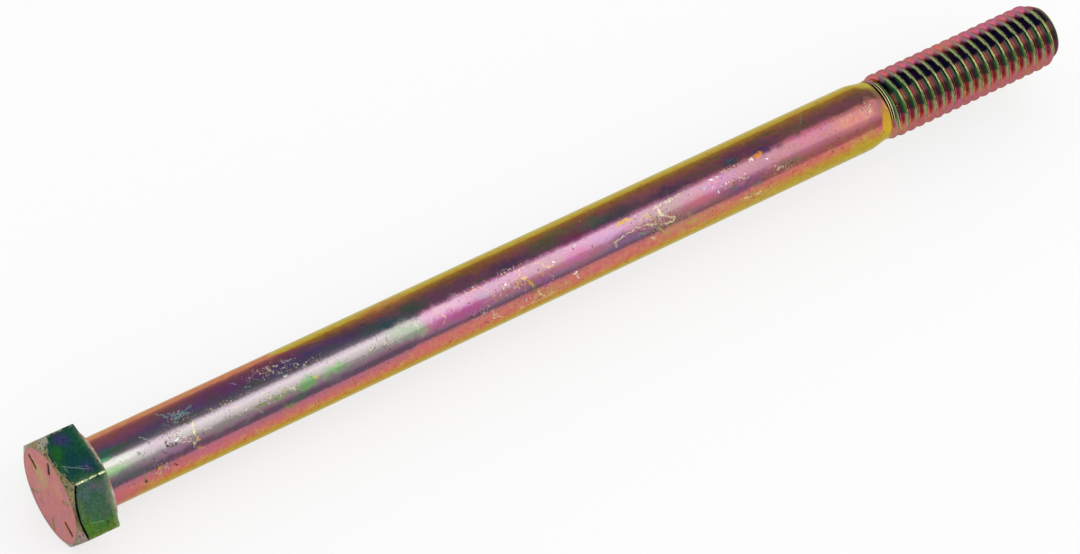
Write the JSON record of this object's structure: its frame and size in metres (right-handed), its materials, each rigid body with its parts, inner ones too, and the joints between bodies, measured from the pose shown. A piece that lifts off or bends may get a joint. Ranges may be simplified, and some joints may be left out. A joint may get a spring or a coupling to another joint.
{
  "type": "alternator pivot bolt",
  "caption": "Long hex-head cap screw with a plain shank and a short rolled thread, the pivot pin that an alternator swings on.",
  "frame": {"origin": "centre of the bearing face under the head, on the bolt's axis", "axes": "+X along the bolt's axis from the head to the thread's point; one flat of the hexagon faces -Z, so the bolt lies on it"},
  "size_m": [0.1582, 0.016, 0.014],
  "materials": {
    "plated_steel": "yellow-passivated zinc plate, iridescent from salmon pink and gold to green and violet, satin"
  },
  "bodies": {
    "root": {"pivot_bolt": "plated_steel"}
  },
  "joints": []
}
